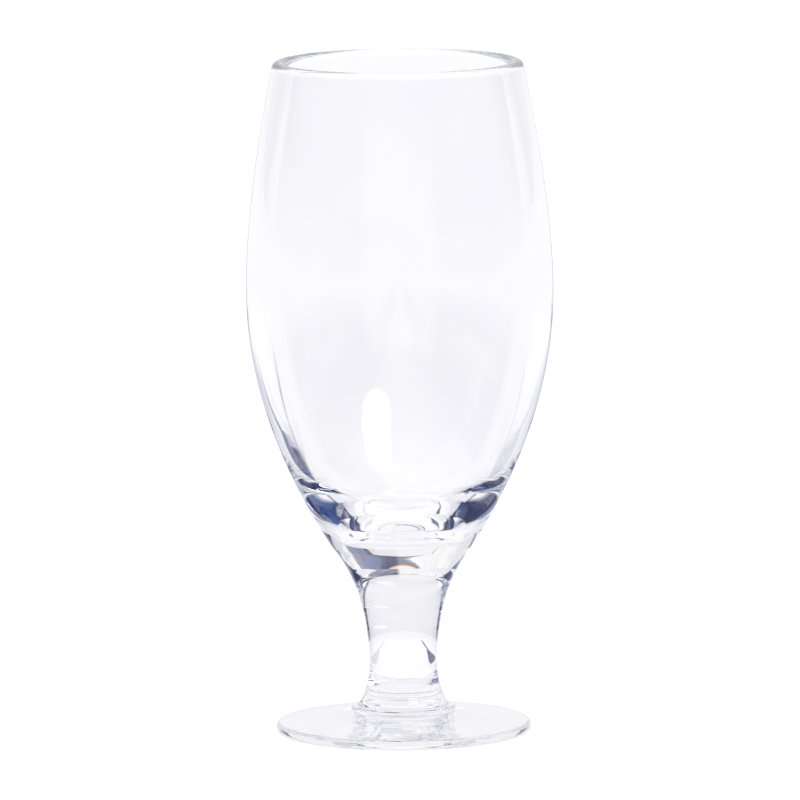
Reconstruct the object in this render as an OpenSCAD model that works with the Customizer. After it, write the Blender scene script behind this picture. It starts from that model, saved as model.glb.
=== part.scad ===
// Footed pilsner glass in heavy clear glass. A barrel-shaped bowl with a thick base, a short solid
// stem and a round foot are three hot gathers, fused end to end on flat faces.
// All sizes are in millimetres. The glass stands on z = 0 and turns about the Z axis.

/* [Bowl] */
// Height from the table to the top of the lip
height = 180; // [165:1:200]
// Outer diameter across the lip
rim_d = 67.2; // [58:0.2:76]
// How far the wall leans inwards at the lip, in degrees from upright
rim_lean = 10.4; // [5:0.2:16]
// Outer diameter of the belly, where the bowl is widest
belly_d = 81.8; // [76:0.2:90]
// Height of the belly above the table
belly_z = 119; // [105:1:132]
// Thickness of the wall at the lip
wall = 4; // [2.6:0.1:5]
// Thickness of the wall at the belly
belly_wall = 4; // [2.6:0.1:5]
// Thickness of the base, from the inner bottom down to the joint with the stem
base_t = 5.1; // [4:0.1:14]
// Diameter of the flat of the inner bottom
bottom_d = 16.9; // [12:0.1:22]
// Inner diameter at the heel, where the rounded corner of the inner bottom turns into the wall
heel_d = 26; // [22:0.2:32]
// Height of the heel above the inner bottom
heel_h = 3.2; // [1.6:0.1:7]
// How far the inside leans outwards at the heel, in degrees from upright
heel_lean = 50.7; // [40:0.1:56]
// Thickness of the wall low down, between the heel and the belly
low_wall = 4.2; // [3:0.1:5]
// How much more the inside leans there than the outside, in degrees
low_turn = 1.1; // [-4:0.1:4]

/* [Stem] */
// Height of the fused joint between bowl and stem
stem_top_z = 50; // [44:0.5:56]
// Diameter of the stem at that joint
stem_top_d = 37.7; // [30:0.1:44]
// How far the outside leans outwards at that joint, in degrees from upright
funnel_lean = 32.6; // [24:0.2:40]
// Diameter of the waist, where the stem is slimmest
waist_d = 18.1; // [14:0.1:24]
// Height of the waist above the table
waist_z = 17.7; // [15:0.1:24]
// Outer diameter of the rolled collar at the lower end of the stem
collar_d = 28; // [26:0.2:34]
// Height of that collar
collar_h = 2.4; // [1.6:0.1:3]
// How far the stem flares outwards above the collar, in degrees from upright
flare_lean = 43; // [25:1:55]

/* [Foot] */
// Diameter of the foot
foot_d = 68; // [58:0.5:80]
// Thickness of the foot at its edge
foot_edge = 2.6; // [2.2:0.1:4]
// Radius that rounds the foot's edge above and below
edge_round = 1; // [0.4:0.1:1]
// Height of the middle of the foot, where the stem is fused on
crown_h = 4.6; // [4.2:0.1:7]
// Width of the flat ring that stands on the table
rest_w = 4; // [3:0.5:12]
// Rise of the hollow under the foot
hollow_h = 2.4; // [0.4:0.1:3]

/* [Hidden] */
$fn = 180;

// Points along a wall's long curves and along its small round edges
curve_steps = 40;
round_steps = 16;

// Pulls: how long a curve keeps an end's direction, as a share of the curve's own height
lip_pull = 0.15;
belly_up_pull = 0.38;
belly_down_pull = 0.19;
funnel_up_pull = 0.45;
funnel_down_pull = 0.05;
waist_up_pull = 0.68;
waist_down_pull = 0.16;
flare_pull = 0.25;
heel_up_pull = 0.37;
heel_down_pull = 0.38;
low_down_pull = 0.48;
low_up_pull = 0.36;
inner_belly_pull = 0.26;

// Pulls along the level: shares of the corner's width and of the two runs of the foot
bottom_pull = 0.69;
crown_pull = 0.50;
hollow_in_pull = 0.30;
hollow_out_pull = 0.40;

// Where the lower wall's thickness is taken, as a share of the way from the joint to the belly
low_share = 0.367;

// Angle at which the stem's flare lands on the round of the collar
collar_start = 112;

belly_r = belly_d / 2;
stem_top_r = stem_top_d / 2;
waist_r = waist_d / 2;
foot_r = foot_d / 2;
bottom_r = bottom_d / 2;
bottom_z = stem_top_z + base_t;
heel_r = heel_d / 2;
heel_z = bottom_z + heel_h;

// The lip is a half round that spans the wall and leans with it
lip_r = wall / 2;
lip_mid = [rim_d / 2 - lip_r, height - lip_r];
lip_out = lip_mid + lip_r * [cos(rim_lean), sin(rim_lean)];
lip_in = lip_mid - lip_r * [cos(rim_lean), sin(rim_lean)];

// The collar is a round bead that sits on the foot's crown
collar_r = collar_h / 2;
collar_mid = [collar_d / 2 - collar_r, crown_h + collar_r];
collar_land = collar_mid + collar_r * [cos(collar_start), sin(collar_start)];

// The hollow under the foot ends at the inner side of the standing ring
ring_r = foot_r - edge_round;
hollow_r = ring_r - rest_w;

// A cubic curve is given by its two ends with their handles between them.
// The spot at a share of the way along it, and the direction there
function spot(c, t) =
    let (u = 1 - t)
    u * u * u * c[0] + 3 * u * u * t * c[1] + 3 * u * t * t * c[2] + t * t * t * c[3];
function way(c, t) =
    let (u = 1 - t, w = u * u * (c[1] - c[0]) + 2 * u * t * (c[2] - c[1]) + t * t * (c[3] - c[2]))
    w / norm(w);
function drawn(c) = [for (i = [0 : curve_steps]) spot(c, i / curve_steps)];

// A rising curve between two points, each with its lean from upright and its pull
function rise(low, low_lean, low_pull, high, high_lean, high_pull) =
    let (run = high[1] - low[1])
    [
        low,
        low + low_pull * run * [tan(low_lean), 1],
        high - high_pull * run * [tan(high_lean), 1],
        high
    ];
function rising(low, low_lean, low_pull, high, high_lean, high_pull) =
    drawn(rise(low, low_lean, low_pull, high, high_lean, high_pull));

// A round edge about a centre, from one angle to another
function rounded(centre, radius, from, to) = [
    for (i = [0 : round_steps])
        let (a = from + (to - from) * i / round_steps)
        centre + radius * [cos(a), sin(a)]
];

// The same points from last to first, and the points without the first
function reversed(points) = [for (i = [len(points) - 1 : -1 : 0]) points[i]];
function onward(points) = [for (i = [1 : len(points) - 1]) points[i]];

// Half sections of the three gathers, each from the axis outwards, up and back to the axis
function outer_low() = rise(
    [stem_top_r, stem_top_z], funnel_lean, funnel_up_pull,
    [belly_r, belly_z], 0, belly_down_pull
);

function outer_wall() = concat(
    drawn(outer_low()),
    onward(rising([belly_r, belly_z], 0, belly_up_pull, lip_out, -rim_lean, lip_pull))
);

function inner_wall() =
    let (
        inner_r = belly_r - belly_wall,
        corner_run = heel_r - bottom_r,
        beside = way(outer_low(), low_share),
        low = spot(outer_low(), low_share) + low_wall * [-beside[1], beside[0]],
        low_lean = atan2(beside[0], beside[1]) + low_turn
    )
    concat(
        drawn([
            [bottom_r, bottom_z],
            [bottom_r + bottom_pull * corner_run, bottom_z],
            [heel_r, heel_z] - heel_down_pull * heel_h * [tan(heel_lean), 1],
            [heel_r, heel_z]
        ]),
        onward(rising([heel_r, heel_z], heel_lean, heel_up_pull, low, low_lean, low_down_pull)),
        onward(rising(low, low_lean, low_up_pull, [inner_r, belly_z], 0, inner_belly_pull)),
        onward(rising([inner_r, belly_z], 0, belly_up_pull, lip_in, -rim_lean, lip_pull))
    );

function bowl_section() = concat(
    [[0, stem_top_z]],
    outer_wall(),
    onward(rounded(lip_mid, lip_r, rim_lean, rim_lean + 180)),
    onward(reversed(inner_wall())),
    [[0, bottom_z]]
);

function stem_section() = concat(
    [[0, crown_h]],
    rounded(collar_mid, collar_r, -90, collar_start),
    onward(rising(collar_land, -flare_lean, flare_pull, [waist_r, waist_z], 0, waist_down_pull)),
    onward(rising(
        [waist_r, waist_z], 0, waist_up_pull,
        [stem_top_r, stem_top_z], funnel_lean, funnel_down_pull
    )),
    [[0, stem_top_z]]
);

function foot_section() =
    let (
        crown_r = collar_mid[0],
        top_r = foot_r - edge_round,
        top_run = top_r - crown_r
    )
    concat(
        drawn([
            [0, hollow_h],
            [hollow_in_pull * hollow_r, hollow_h],
            [hollow_r - hollow_out_pull * hollow_r, 0],
            [hollow_r, 0]
        ]),
        rounded([ring_r, edge_round], edge_round, -90, 0),
        rounded([top_r, foot_edge - edge_round], edge_round, 0, 90),
        onward(drawn([
            [top_r, foot_edge],
            [top_r - crown_pull * top_run, foot_edge],
            [crown_r + top_run / 4, crown_h - (crown_h - foot_edge) / 4],
            [crown_r, crown_h]
        ])),
        [[0, crown_h]]
    );

module bowl() {
    color("aliceblue", 0.4) rotate_extrude() polygon(bowl_section());
}

module stem() {
    color("lavender", 0.4) rotate_extrude() polygon(stem_section());
}

module foot() {
    color("ghostwhite", 0.4) rotate_extrude() polygon(foot_section());
}

bowl();
stem();
foot();
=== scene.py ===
# Footed pilsner glass: three gathers of clear glass, each turned from its half section, in a pale studio
import math

import bpy
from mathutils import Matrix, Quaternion, Vector


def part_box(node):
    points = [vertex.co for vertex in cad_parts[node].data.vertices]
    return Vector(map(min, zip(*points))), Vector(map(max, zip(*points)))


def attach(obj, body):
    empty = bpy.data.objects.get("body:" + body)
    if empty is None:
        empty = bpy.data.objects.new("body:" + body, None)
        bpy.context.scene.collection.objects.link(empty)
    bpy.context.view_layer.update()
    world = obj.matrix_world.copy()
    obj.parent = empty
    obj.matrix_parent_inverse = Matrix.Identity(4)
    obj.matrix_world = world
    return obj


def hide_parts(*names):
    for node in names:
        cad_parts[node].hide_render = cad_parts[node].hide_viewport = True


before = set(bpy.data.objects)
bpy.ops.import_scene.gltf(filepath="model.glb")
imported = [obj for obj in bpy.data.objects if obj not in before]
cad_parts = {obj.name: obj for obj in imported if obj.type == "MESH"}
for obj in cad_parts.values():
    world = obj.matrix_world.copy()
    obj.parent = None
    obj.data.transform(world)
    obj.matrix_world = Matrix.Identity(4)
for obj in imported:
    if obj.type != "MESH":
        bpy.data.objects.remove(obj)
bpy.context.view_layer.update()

MM = 0.001

# Points closer than this are one point, in metres; edges sharper than this stay sharp, in degrees
SAME_POINT = 1e-6
SHARP_EDGE = 40

# Faces round each piece
BOWL_TURNS = 192
STEM_TURNS = 160
FOOT_TURNS = 192

# Glass surface: depth and length of its broad waves, in millimetres
WAVE_DEPTH = 0.012
WAVE_LENGTH = 18
# Its turning marks: depth, length round the glass and length up it, in millimetres
MARK_DEPTH = 0.003
MARK_ROUND = 9
MARK_UP = 1.6

# Depth and spacing of the rings on the inner bottom, in millimetres
RING_DEPTH = 0.025
RING_PITCH = 1.25

# Rings on the stem's flare: depth, spacing and the height up to which they run, in millimetres
FLARE_DEPTH = 0.012
FLARE_PITCH = 0.9
FLARE_TOP = 11.2

# Backdrop seen from the glass, in degrees: half its width, the softness of its sides, and its top
BACKDROP_SIDE = 60
BACKDROP_SOFT = 2
BACKDROP_TOP = 43
# How much narrower the backdrop is at its upper corner on the right, in degrees
CORNER_CUT = 20
# Brightness of the pale card round the camera
CARD_GLOW = 0.7

# Paper on the floor: width in metres, and how far it lies under the glass, to keep their faces apart
PAPER_SIZE = 6
PAPER_DROP = 2e-5
# Share of the paper's brightness that is steady, and the share that follows the lamp
PAPER_GLOW = 0.94
PAPER_MATT = 0.14
# Strength of the painted shadow of the glass on the right, where the one on the left is 1
SHADOW_RIGHT = 0.28
# How much further out, and nearer, the painted shadows reach in what the glass's outside mirrors, in
# millimetres
MIRROR_OUT = 40
MIRROR_NEAR = 35
# Size of the painted shadows' blotches, in millimetres
BLOTCH = 22

# How often light may bounce in the thick glass before it is given up
BOUNCES = 400

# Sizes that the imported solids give, in millimetres
bowl_low, bowl_high = (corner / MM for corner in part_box("bowl"))
stem_low, stem_high = (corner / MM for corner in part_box("stem"))
foot_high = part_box("foot")[1] / MM
height = bowl_high.z
belly_r = bowl_high.x
joint_z = stem_high.z
joint_r = stem_high.x
crown_h = stem_low.z
foot_r = foot_high.x

# Sizes of the bowl's section
rim_r = 33.6
rim_lean = 10.4
belly_z = 119
wall = 4
funnel_lean = 32.6
belly_wall = 4
bottom_z = 55.1
bottom_r = 8.45
heel_r = 13
heel_z = 58.3
heel_lean = 50.7
low_r = 30.37
low_z = 82.79
low_lean = 20.3

# Sizes of the stem's section
waist_r = 9.05
waist_z = 17.7
collar_r = 14
collar_h = 2.4
collar_start = 112
flare_lean = 43

# Sizes of the foot's section
foot_edge = 2.6
edge_round = 1
rest_w = 4
hollow_h = 2.4

# Pulls: how long a curve keeps an end's direction, as a share of the curve's own height
lip_pull = 0.15
belly_up_pull = 0.38
belly_down_pull = 0.19
funnel_up_pull = 0.45
funnel_down_pull = 0.05
waist_up_pull = 0.68
waist_down_pull = 0.16
flare_pull = 0.25
heel_up_pull = 0.37
heel_down_pull = 0.38
low_down_pull = 0.48
low_up_pull = 0.36
inner_belly_pull = 0.26

# Pulls along the level: shares of the corner's width and of the foot's two runs
bottom_pull = 0.69
crown_pull = 0.5
hollow_in_pull = 0.3
hollow_out_pull = 0.4


# Curve runs of the half sections, each as two points of the section with their handles between them
def straight(start, end):
    return start, start.lerp(end, 1 / 3), start.lerp(end, 2 / 3), end


def rising(low, low_lean, low_pull, high, high_lean, high_pull):
    rise = high.y - low.y
    low_way = Vector((math.tan(math.radians(low_lean)), 1))
    high_way = Vector((math.tan(math.radians(high_lean)), 1))
    return low, low + low_way * low_pull * rise, high - high_way * high_pull * rise, high


def rounded(centre, radius, first, last):
    reach = radius * 4 / 3 * math.tan(math.radians(last - first) / 4)
    ends = []
    for angle in (math.radians(first), math.radians(last)):
        out = Vector((math.cos(angle), math.sin(angle)))
        ends.append((centre + radius * out, reach * Vector((-out.y, out.x))))
    (start, start_way), (end, end_way) = ends
    return start, start + start_way, end - end_way, end


# A piece: its runs, each with its number of steps, are drawn as curves, made a mesh and spun upright
def turned_piece(name, runs, turns, rings=None):
    bpy.ops.object.select_all(action="DESELECT")
    bpy.ops.curve.primitive_bezier_curve_add(location=(0, 0, 0))
    piece = bpy.context.object
    piece.name = name
    piece.data.dimensions = "3D"
    piece.data.splines.clear()
    for steps, (start, start_handle, end_handle, end) in runs:
        spline = piece.data.splines.new("BEZIER")
        spline.resolution_u = steps
        spline.bezier_points.add(1)
        first, last = spline.bezier_points
        for knob, at, back, ahead in (
            (first, start, start, start_handle),
            (last, end, end_handle, end),
        ):
            knob.handle_left_type = knob.handle_right_type = "FREE"
            knob.co = Vector((at.x, 0, at.y)) * MM
            knob.handle_left = Vector((back.x, 0, back.y)) * MM
            knob.handle_right = Vector((ahead.x, 0, ahead.y)) * MM
    bpy.ops.object.convert(target="MESH")
    if rings:
        for point in piece.data.vertices:
            rings(point)
    bpy.ops.object.mode_set(mode="EDIT")
    bpy.ops.mesh.select_all(action="SELECT")
    bpy.ops.mesh.remove_doubles(threshold=SAME_POINT)
    bpy.ops.mesh.spin(steps=turns, angle=math.tau, center=(0, 0, 0), axis=(0, 0, 1))
    bpy.ops.mesh.select_all(action="SELECT")
    bpy.ops.mesh.remove_doubles(threshold=SAME_POINT)
    bpy.ops.mesh.normals_make_consistent(inside=False)
    bpy.ops.object.mode_set(mode="OBJECT")
    bpy.ops.object.shade_smooth_by_angle(angle=math.radians(SHARP_EDGE))
    return piece


# Bowl: the outer wall, the half-round lip, the inner wall and the flat inner bottom
lip_r = wall / 2
lip_mid = Vector((rim_r - lip_r, height - lip_r))
lip_way = Vector((math.cos(math.radians(rim_lean)), math.sin(math.radians(rim_lean))))
lip_out = lip_mid + lip_r * lip_way
lip_in = lip_mid - lip_r * lip_way
belly_out = Vector((belly_r, belly_z))
belly_in = Vector((belly_r - belly_wall, belly_z))
joint_edge = Vector((joint_r, joint_z))
low = Vector((low_r, low_z))
heel = Vector((heel_r, heel_z))
bottom_edge = Vector((bottom_r, bottom_z))
heel_way = Vector((math.tan(math.radians(heel_lean)), 1))


# Turning marks: low rings that fade out towards both ends of the stretch they are on
def bottom_rings(point):
    r, z = point.co.x / MM, point.co.z / MM
    if r < heel_r and bottom_z - 0.001 < z < heel_z:
        fade = math.sin(math.pi * r / heel_r)
        point.co.z += RING_DEPTH * MM * fade * math.cos(math.tau * r / RING_PITCH)


bowl = turned_piece(
    "glass_bowl",
    [
        (12, straight(Vector((0, joint_z)), joint_edge)),
        (96, rising(joint_edge, funnel_lean, funnel_up_pull, belly_out, 0, belly_down_pull)),
        (64, rising(belly_out, 0, belly_up_pull, lip_out, -rim_lean, lip_pull)),
        (10, rounded(lip_mid, lip_r, rim_lean, rim_lean + 90)),
        (10, rounded(lip_mid, lip_r, rim_lean + 90, rim_lean + 180)),
        (64, rising(belly_in, 0, belly_up_pull, lip_in, -rim_lean, lip_pull)),
        (56, rising(low, low_lean, low_up_pull, belly_in, 0, inner_belly_pull)),
        (64, rising(heel, heel_lean, heel_up_pull, low, low_lean, low_down_pull)),
        (32, (
            bottom_edge,
            bottom_edge + Vector((bottom_pull * (heel_r - bottom_r), 0)),
            heel - heel_down_pull * (heel_z - bottom_z) * heel_way,
            heel,
        )),
        (56, straight(Vector((0, bottom_z)), bottom_edge)),
    ],
    BOWL_TURNS,
    bottom_rings,
)

# Stem: a rolled collar below, a flare, the waist and the funnel up to the joint
bead_r = collar_h / 2
bead_mid = Vector((collar_r - bead_r, crown_h + bead_r))
third = (collar_start + 90) / 3
bead_runs = [
    (10, rounded(bead_mid, bead_r, -90 + third * k, -90 + third * (k + 1))) for k in range(3)
]
collar_land = bead_runs[-1][1][3]
waist = Vector((waist_r, waist_z))
crown_edge = Vector((bead_mid.x, crown_h))


def flare_rings(point):
    r, z = point.co.x / MM, point.co.z / MM
    if waist_r < r < collar_land.x and collar_land.y < z < FLARE_TOP:
        fade = math.sin(math.pi * (z - collar_land.y) / (FLARE_TOP - collar_land.y))
        point.co.x += FLARE_DEPTH * MM * fade * math.cos(math.tau * z / FLARE_PITCH)


stem = turned_piece(
    "glass_stem",
    [
        (10, straight(Vector((0, crown_h)), crown_edge)),
        *bead_runs,
        (96, rising(collar_land, -flare_lean, flare_pull, waist, 0, waist_down_pull)),
        (96, rising(waist, 0, waist_up_pull, joint_edge, funnel_lean, funnel_down_pull)),
        (12, straight(Vector((0, joint_z)), joint_edge)),
    ],
    STEM_TURNS,
    flare_rings,
)

# Foot: the hollow underside, the flat standing ring, the rounded edge and the low crown
ring_r = foot_r - edge_round
hollow_r = ring_r - rest_w
top_run = ring_r - bead_mid.x

foot = turned_piece(
    "glass_foot",
    [
        (40, (
            Vector((0, hollow_h)),
            Vector((hollow_in_pull * hollow_r, hollow_h)),
            Vector(((1 - hollow_out_pull) * hollow_r, 0)),
            Vector((hollow_r, 0)),
        )),
        (8, straight(Vector((hollow_r, 0)), Vector((ring_r, 0)))),
        (8, rounded(Vector((ring_r, edge_round)), edge_round, -90, 0)),
        (2, straight(Vector((foot_r, edge_round)), Vector((foot_r, foot_edge - edge_round)))),
        (8, rounded(Vector((ring_r, foot_edge - edge_round)), edge_round, 0, 90)),
        (48, (
            Vector((ring_r, foot_edge)),
            Vector((ring_r - crown_pull * top_run, foot_edge)),
            Vector((bead_mid.x + top_run / 4, crown_h - (crown_h - foot_edge) / 4)),
            crown_edge,
        )),
        (10, straight(crown_edge, Vector((0, crown_h)))),
    ],
    FOOT_TURNS,
)


# Materials
def linear(code):
    values = [int(code[i:i + 2], 16) / 255 for i in (1, 3, 5)]
    return (*(v / 12.92 if v <= 0.04045 else ((v + 0.055) / 1.055) ** 2.4 for v in values), 1)


def add_node(tree, kind, values=None, links=None, **settings):
    node = tree.nodes.new(kind)
    for name, value in settings.items():
        setattr(node, name, value)
    for socket, value in (values or {}).items():
        node.inputs[socket].default_value = value
    for socket, source in (links or {}).items():
        tree.links.new(source, node.inputs[socket])
    return node


def new_tree(data):
    data.use_nodes = True
    data.node_tree.nodes.clear()
    return data.node_tree


# Fire-polished soda-lime glass: colourless and mirror-smooth. Blowing leaves broad, shallow waves in it,
# and turning the hot base leaves fine marks that run round the glass and tear reflections into streaks.
glass = bpy.data.materials.new("fire_polished_soda_lime_glass")
tree = new_tree(glass)
place = add_node(tree, "ShaderNodeTexCoord").outputs["Object"]
broad_waves = add_node(
    tree, "ShaderNodeTexNoise", {"Scale": 1 / (WAVE_LENGTH * MM), "Detail": 1.0}, {"Vector": place}
)
round_marks = add_node(
    tree, "ShaderNodeMapping",
    {"Scale": (1 / (MARK_ROUND * MM), 1 / (MARK_ROUND * MM), 1 / (MARK_UP * MM))}, {"Vector": place},
)
turning = add_node(
    tree, "ShaderNodeTexNoise", {"Scale": 1.0, "Detail": 2.0}, {"Vector": round_marks.outputs["Vector"]}
)
waves = add_node(
    tree, "ShaderNodeBump", {"Strength": 1.0, "Distance": WAVE_DEPTH * MM},
    {"Height": broad_waves.outputs["Fac"]},
)
marks = add_node(
    tree, "ShaderNodeBump", {"Strength": 1.0, "Distance": MARK_DEPTH * MM},
    {"Height": turning.outputs["Fac"], "Normal": waves.outputs["Normal"]},
)
cast = add_node(tree, "ShaderNodeValToRGB", links={"Fac": broad_waves.outputs["Fac"]})
thin, thick = cast.color_ramp.elements
thin.position, thin.color = 0.3, linear("#ffffff")
thick.position, thick.color = 0.7, linear("#fdfdfe")
shader = add_node(
    tree, "ShaderNodeBsdfPrincipled",
    {"Roughness": 0.0, "IOR": 1.52, "Transmission Weight": 1.0},
    {"Base Color": cast.outputs["Color"], "Normal": marks.outputs["Normal"]},
)
add_node(tree, "ShaderNodeOutputMaterial", links={"Surface": shader.outputs["BSDF"]})

# Fused joint: where two gathers were melted together nothing is left to see
fused = bpy.data.materials.new("fused_glass_joint")
tree = new_tree(fused)
through = add_node(tree, "ShaderNodeBsdfTransparent")
add_node(tree, "ShaderNodeOutputMaterial", links={"Surface": through.outputs["BSDF"]})

for piece, node, joints in (
    (bowl, "bowl", (joint_z,)),
    (stem, "stem", (joint_z, crown_h)),
    (foot, "foot", (crown_h,)),
):
    piece.data.materials.append(glass)
    piece.data.materials.append(fused)
    for face in piece.data.polygons:
        if abs(face.normal.z) > 0.999 and any(abs(face.center.z / MM - z) < 0.001 for z in joints):
            face.material_index = 1
    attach(piece, "root")
    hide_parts(node)

# Studio: a white backdrop, a light panel above on the left, a pale card round the camera, a dim blue room
scene = bpy.context.scene
world = bpy.data.worlds.new("studio")
scene.world = world
tree = new_tree(world)
white = (1, 1, 1, 1)
pale = linear("#f4f3f7")
shade = linear("#b9b6c6")
ray = add_node(tree, "ShaderNodeLightPath").outputs
way = add_node(tree, "ShaderNodeTexCoord").outputs["Generated"]
parts = add_node(tree, "ShaderNodeSeparateXYZ", links={0: way}).outputs
turn = add_node(tree, "ShaderNodeMath", links={0: parts["X"], 1: parts["Y"]}, operation="ARCTAN2").outputs[0]
azimuth = add_node(tree, "ShaderNodeMath", links={0: turn}, operation="DEGREES").outputs[0]
side = add_node(tree, "ShaderNodeMath", links={0: azimuth}, operation="ABSOLUTE").outputs[0]
lift = add_node(tree, "ShaderNodeMath", links={0: parts["Z"]}, operation="ARCSINE").outputs[0]
elevation = add_node(tree, "ShaderNodeMath", links={0: lift}, operation="DEGREES").outputs[0]
to_panel = add_node(
    tree, "ShaderNodeVectorMath", {1: Vector((-0.470, 0.171, 0.866))}, {0: way}, operation="DOT_PRODUCT"
).outputs["Value"]

# Soft edges of the studio's parts: each goes from 0 at its first value to 1 at its last
edges = {}
for name, source, first, last in (
    ("haze_up", elevation, 24, 40),
    ("haze_near", side, 95, 112),
    ("card_top", elevation, 17, 12),
    ("card_side", side, 146, 156),
    ("horizon", elevation, 5, -3),
    ("panel_round", to_panel, 0.72, 0.755),
    ("panel_over_gap", elevation, BACKDROP_TOP + 2.6, BACKDROP_TOP + 3.6),
    ("panel_left", azimuth, -14, -20),
    ("panel_foot", elevation, 26, 32),
    ("panel_right", parts["X"], 0.10, 0.04),
    ("panel_front", parts["Y"], -0.40, -0.32),
    ("top_fringe", elevation, BACKDROP_TOP - 0.9, BACKDROP_TOP + 0.9),
    ("over_fringe", elevation, BACKDROP_TOP + 0.7, BACKDROP_TOP + 1.1),
    ("corner", elevation, 20, 32),
):
    edges[name] = add_node(
        tree, "ShaderNodeMapRange", {"From Min": first, "From Max": last}, {"Value": source}
    ).outputs[0]

# Haze above the camera's side, and the card round the camera
haze = add_node(
    tree, "ShaderNodeMath", links={0: edges["haze_up"], 1: edges["haze_near"]}, operation="MULTIPLY"
).outputs[0]
card = add_node(
    tree, "ShaderNodeMath", links={0: edges["card_top"], 1: edges["card_side"]}, operation="MULTIPLY"
).outputs[0]

# Light panel: it hangs over a dark gap above the backdrop, and lower down on the left
left_part = add_node(
    tree, "ShaderNodeMath", links={0: edges["panel_left"], 1: edges["panel_foot"]}, operation="MULTIPLY"
).outputs[0]
panel = add_node(
    tree, "ShaderNodeMath", links={0: edges["panel_over_gap"], 1: left_part}, operation="MAXIMUM"
).outputs[0]
for name in ("panel_round", "panel_right", "panel_front"):
    panel = add_node(
        tree, "ShaderNodeMath", links={0: panel, 1: edges[name]}, operation="MULTIPLY"
    ).outputs[0]

# Room: dark blue, with the haze, the card, the far floor's glow and the panel laid over it
shapes = add_node(tree, "ShaderNodeTexNoise", {"Scale": 3.0, "Detail": 2.0}, {"Vector": way})
room = add_node(tree, "ShaderNodeValToRGB", links={0: shapes.outputs["Fac"]})
dark, dim = room.color_ramp.elements
dark.position, dark.color = 0.48, linear("#010a40")
dim.position, dim.color = 0.80, linear("#2a5cb4")
seen = room.outputs[0]
for share, colour in (
    (haze, linear("#949cbc")),
    (card, (CARD_GLOW, CARD_GLOW, CARD_GLOW, 1)),
    (edges["horizon"], pale),
    (panel, white),
    (ray["Is Reflection Ray"], white),
):
    seen = add_node(tree, "ShaderNodeMixRGB", {2: colour}, {0: share, 1: seen}).outputs[0]

# Backdrop, with painted colours along its upper edge: the colours into which the glass spreads that edge
fringe = add_node(tree, "ShaderNodeValToRGB", links={0: edges["top_fringe"]})
stops = fringe.color_ramp.elements
stops[0].position, stops[0].color = 0.05, pale
stops[1].position, stops[1].color = 0.95, linear("#3a1230")
for at, code in ((0.35, "#fff2a0"), (0.65, "#e8862c")):
    stop = stops.new(at)
    stop.color = linear(code)
cloth = add_node(
    tree, "ShaderNodeMixRGB", links={0: edges["over_fringe"], 1: fringe.outputs[0], 2: seen}
).outputs[0]
falloff = add_node(
    tree, "ShaderNodeMapRange", {"From Min": 22, "From Max": 60, "To Max": 0.1}, {"Value": side},
    interpolation_type="SMOOTHSTEP",
).outputs[0]
cloth = add_node(tree, "ShaderNodeMixRGB", {2: shade}, {0: falloff, 1: cloth}).outputs[0]

# Its sides; the upper corner on the right is cut off
on_right = add_node(tree, "ShaderNodeMath", {1: 0.0}, {0: azimuth}, operation="GREATER_THAN").outputs[0]
cut = add_node(
    tree, "ShaderNodeMath", {1: CORNER_CUT}, {0: edges["corner"]}, operation="MULTIPLY"
).outputs[0]
width = add_node(
    tree, "ShaderNodeMath", links={0: on_right, 1: cut, 2: side}, operation="MULTIPLY_ADD"
).outputs[0]
backdrop = add_node(
    tree, "ShaderNodeMapRange",
    {"From Min": BACKDROP_SIDE + BACKDROP_SOFT, "From Max": BACKDROP_SIDE - BACKDROP_SOFT},
    {"Value": width}, interpolation_type="SMOOTHSTEP",
).outputs[0]
seen = add_node(tree, "ShaderNodeMixRGB", links={0: backdrop, 1: seen, 2: cloth}).outputs[0]

# Straight on the studio is plain white
seen = add_node(tree, "ShaderNodeMixRGB", {2: white}, {0: ray["Is Camera Ray"], 1: seen}).outputs[0]
light = add_node(tree, "ShaderNodeBackground", links={"Color": seen})
add_node(tree, "ShaderNodeOutputWorld", links={"Surface": light.outputs[0]})

# White paper on the floor: pale and even, so that the glass stands out by its edges and dark patches alone.
# Blue shadows of the glass are painted on it, behind on both sides; these painted shadows show in the
# glass's lower walls.
bpy.ops.object.select_all(action="DESELECT")
bpy.ops.mesh.primitive_plane_add(size=PAPER_SIZE, location=(0, 0, -PAPER_DROP))
floor = bpy.context.object
floor.name = "studio_floor"
bpy.ops.object.transform_apply(location=True, rotation=False, scale=False)
paper = bpy.data.materials.new("white_paper")
tree = new_tree(paper)
ray = add_node(tree, "ShaderNodeLightPath").outputs
place = add_node(tree, "ShaderNodeTexCoord").outputs["Object"]
parts = add_node(tree, "ShaderNodeSeparateXYZ", links={0: place}).outputs
aside = add_node(tree, "ShaderNodeMath", links={0: parts["X"]}, operation="ABSOLUTE").outputs[0]
# The painted shadows reach further out, and nearer, in what the glass's outside mirrors
drawn_in = add_node(
    tree, "ShaderNodeMath", {1: -MIRROR_OUT * MM}, {0: ray["Is Reflection Ray"], 2: aside},
    operation="MULTIPLY_ADD",
).outputs[0]
drawn_back = add_node(
    tree, "ShaderNodeMath", {1: MIRROR_NEAR * MM}, {0: ray["Is Reflection Ray"], 2: parts["Y"]},
    operation="MULTIPLY_ADD",
).outputs[0]
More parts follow.
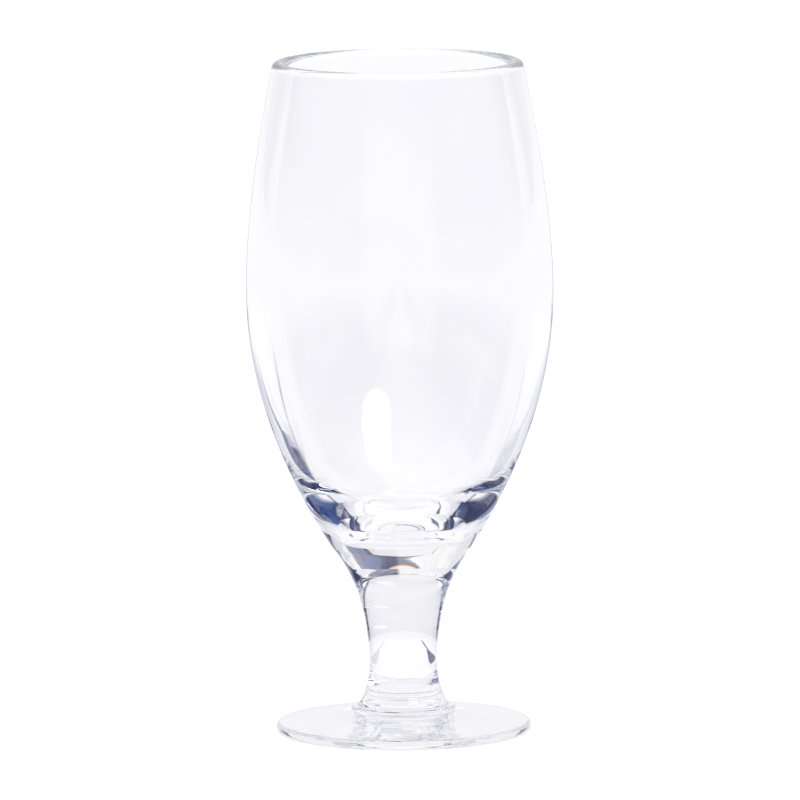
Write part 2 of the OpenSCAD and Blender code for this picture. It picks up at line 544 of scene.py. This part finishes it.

# Lines along the painted shadows: how far each runs aside on its way back, and its soft edge in millimetres
lines = {}
for name, across, slope, first, last in (
    ("inner_near", aside, 0.52, 16, 26),
    ("inner_far", aside, 0.195, 92, 98),
    ("outer_near", drawn_in, 0, 150, 142),
    ("outer_far", drawn_in, 0.24, 102, 94),
):
    line = add_node(
        tree, "ShaderNodeMath", {1: -slope}, {0: parts["Y"], 2: across}, operation="MULTIPLY_ADD"
    ).outputs[0]
    lines[name] = add_node(
        tree, "ShaderNodeMapRange", {"From Min": first * MM, "From Max": last * MM}, {"Value": line}
    ).outputs[0]
inner = add_node(
    tree, "ShaderNodeMath", links={0: lines["inner_near"], 1: lines["inner_far"]}, operation="MAXIMUM"
).outputs[0]
painted_shadow = add_node(
    tree, "ShaderNodeMath", links={0: lines["outer_near"], 1: lines["outer_far"]}, operation="MAXIMUM"
).outputs[0]

# Where the painted shadows start and end behind the glass, in millimetres, and the weaker one on the right
start = add_node(
    tree, "ShaderNodeMapRange", {"From Min": 62 * MM, "From Max": 72 * MM}, {"Value": drawn_back}
).outputs[0]
end = add_node(
    tree, "ShaderNodeMapRange", {"From Min": 560 * MM, "From Max": 380 * MM}, {"Value": parts["Y"]}
).outputs[0]
weaker = add_node(
    tree, "ShaderNodeMapRange",
    {"From Min": -20 * MM, "From Max": 20 * MM, "To Min": 1.0, "To Max": SHADOW_RIGHT},
    {"Value": parts["X"]},
).outputs[0]
for part in (inner, start, end, weaker):
    painted_shadow = add_node(tree, "ShaderNodeMath", links={0: painted_shadow, 1: part}, operation="MULTIPLY").outputs[0]

# The painted shadows are blotched, from deep blue to a painted lighter blue, as light through thick glass is
blotches = add_node(
    tree, "ShaderNodeTexNoise", {"Scale": 1 / (BLOTCH * MM), "Detail": 2.0}, {"Vector": place}
)
blue = add_node(tree, "ShaderNodeValToRGB", links={0: blotches.outputs["Fac"]})
deep, lit = blue.color_ramp.elements
deep.position, deep.color = 0.48, linear("#04185c")
lit.position, lit.color = 0.92, linear("#5a90d8")
sheet = add_node(
    tree, "ShaderNodeMixRGB", {1: linear("#faf9fc")}, {0: painted_shadow, 2: blue.outputs[0]}
).outputs[0]

# Painted shade: the paper darkens a little with distance
distance = add_node(tree, "ShaderNodeVectorMath", links={0: place}, operation="LENGTH").outputs["Value"]
falloff = add_node(
    tree, "ShaderNodeMapRange", {"From Min": 0.25, "From Max": 0.9, "To Max": 0.12}, {"Value": distance},
    interpolation_type="SMOOTHSTEP",
).outputs[0]
sheet = add_node(tree, "ShaderNodeMixRGB", {2: shade}, {0: falloff, 1: sheet}).outputs[0]

# Painted shade: on both sides of the glass, what its outside mirrors of the near paper is painted dimmer
painted_mirror_shade = ray["Is Reflection Ray"]
for first, last in ((0.28, 0.16), (0.04, 0.09)):
    band = add_node(
        tree, "ShaderNodeMapRange", {"From Min": first, "From Max": last}, {"Value": aside}
    ).outputs[0]
    painted_mirror_shade = add_node(
        tree, "ShaderNodeMath", links={0: painted_mirror_shade, 1: band}, operation="MULTIPLY"
    ).outputs[0]
sheet = add_node(
    tree, "ShaderNodeMixRGB", {2: linear("#8f9abe")}, {0: painted_mirror_shade, 1: sheet}, blend_type="MULTIPLY"
).outputs[0]

# Straight on the paper is white, with the faint shadow that the lamp leaves
sheet = add_node(tree, "ShaderNodeMixRGB", {2: white}, {0: ray["Is Camera Ray"], 1: sheet}).outputs[0]
glow = add_node(tree, "ShaderNodeEmission", {"Strength": PAPER_GLOW}, {"Color": sheet})
matt = add_node(tree, "ShaderNodeBsdfDiffuse", {"Color": (PAPER_MATT, PAPER_MATT, PAPER_MATT, 1)})
both = add_node(tree, "ShaderNodeAddShader", links={0: glow.outputs[0], 1: matt.outputs[0]})
add_node(tree, "ShaderNodeOutputMaterial", links={"Surface": both.outputs[0]})
floor.data.materials.append(paper)

# Key softbox to the right of the camera
bpy.ops.object.light_add(type="AREA", location=(0, 0, 0))
softbox = bpy.context.object
softbox.name = "key_softbox"
box_turn, box_lift, box_away = math.radians(151), math.radians(33), 1.5
box_aim = Vector((0, 0, 0.09))
box_way = Vector((
    math.sin(box_turn) * math.cos(box_lift),
    math.cos(box_turn) * math.cos(box_lift),
    math.sin(box_lift),
))
softbox.location = box_aim + box_way * box_away
softbox.rotation_mode = "QUATERNION"
softbox.rotation_quaternion = (-box_way).to_track_quat("-Z", "Y")
softbox.data.shape = "ELLIPSE"
softbox.data.size = 0.78
softbox.data.size_y = 0.42
softbox.data.energy = 2.4
softbox.visible_camera = False

# Camera at the photograph's angle
bpy.ops.object.camera_add()
camera = bpy.context.object
camera.name = "camera"
camera.data.sensor_width = 36
camera.data.lens = 479.3
camera.data.clip_end = 50
stand = Vector((0, -2.812, 0.4756))
target = Vector((-0.0002, 0, 0.08906))
camera.location = stand
camera.rotation_mode = "QUATERNION"
camera.rotation_quaternion = (
    (target - stand).to_track_quat("-Z", "Y") @ Quaternion((0, 0, 1), math.radians(-0.543))
)
scene.camera = camera

# Light bounces many times inside thick glass before it leaves
scene.cycles.max_bounces = BOUNCES
scene.cycles.glossy_bounces = BOUNCES
scene.cycles.transmission_bounces = BOUNCES
scene.cycles.transparent_max_bounces = BOUNCES
scene.view_settings.view_transform = "Standard"
